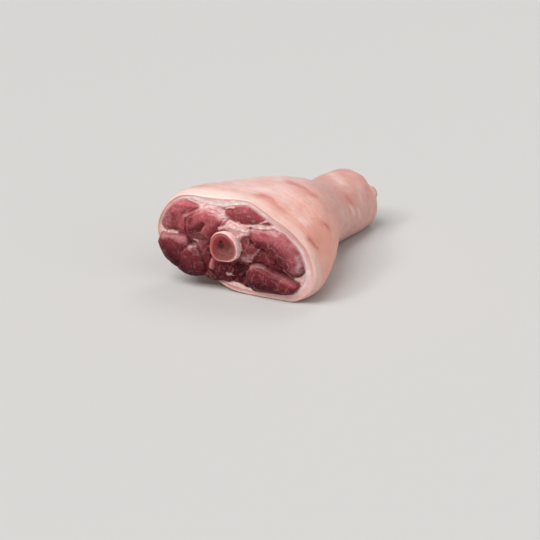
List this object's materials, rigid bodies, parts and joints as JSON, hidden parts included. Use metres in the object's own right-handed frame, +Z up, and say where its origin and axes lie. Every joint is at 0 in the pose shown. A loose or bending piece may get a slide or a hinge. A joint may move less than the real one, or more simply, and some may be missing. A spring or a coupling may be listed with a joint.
{
  "type": "raw pork hind shank",
  "caption": "Raw pork shank with rind on, sawn through at the thick end to show muscles round a marrow bone, tapering to the hock.",
  "frame": {"origin": "on the surface the shank lies on, under the middle of its box", "axes": "+Y from the sawn face to the hock end, +X to the right seen from the sawn face, +Z up"},
  "size_m": [0.1494, 0.233, 0.086],
  "materials": {
    "rind_and_fat": "raw pork rind, pale pink and slightly moist, white fat where it is cut",
    "meat": "raw pork muscle, moist, with pale seams",
    "bone": "fresh sawn bone, pinkish cream",
    "marrow": "spongy red marrow, moist"
  },
  "bodies": {
    "root": {"fat_layer": "rind_and_fat", "meat": "meat", "bone": "bone", "marrow": "marrow"}
  },
  "joints": []
}
